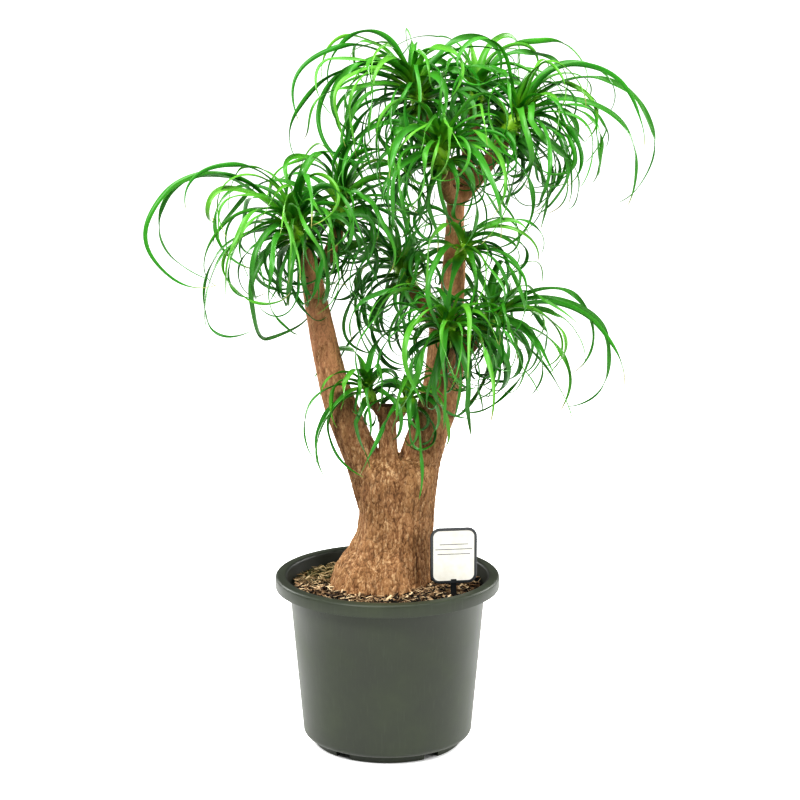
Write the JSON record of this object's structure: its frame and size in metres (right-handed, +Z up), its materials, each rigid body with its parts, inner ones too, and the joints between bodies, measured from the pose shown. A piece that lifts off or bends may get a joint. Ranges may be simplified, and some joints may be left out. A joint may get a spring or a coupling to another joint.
{
  "type": "potted ponytail palm",
  "caption": "Potted ponytail palm with a swollen corky trunk, pruned limbs and arching strap leaves, standing in a dark green nursery pot.",
  "frame": {"origin": "on the floor, in the middle of the pot's underside", "axes": "+Z up along the pot's axis; +X to the right and -Y towards the viewer when the plant's front is seen"},
  "size_m": [0.7194, 0.4136, 1.015],
  "materials": {
    "pot_plastic": "satin",
    "potting_mix": "matte",
    "bark": "matte",
    "label_plastic": "satin",
    "leaf": "satin"
  },
  "bodies": {
    "root": {"pot": "pot_plastic", "soil": "potting_mix", "trunk": "bark", "label": "label_plastic", "head_left_front": "leaf", "head_left_back": "leaf", "head_crown_left": "leaf", "head_crown_front": "leaf", "head_crown_back": "leaf", "head_crown_right": "leaf", "head_stem_side": "leaf", "head_behind": "leaf", "head_limb_front": "leaf", "head_limb_right": "leaf", "head_stub_left": "leaf", "head_stub_right": "leaf"}
  },
  "joints": []
}
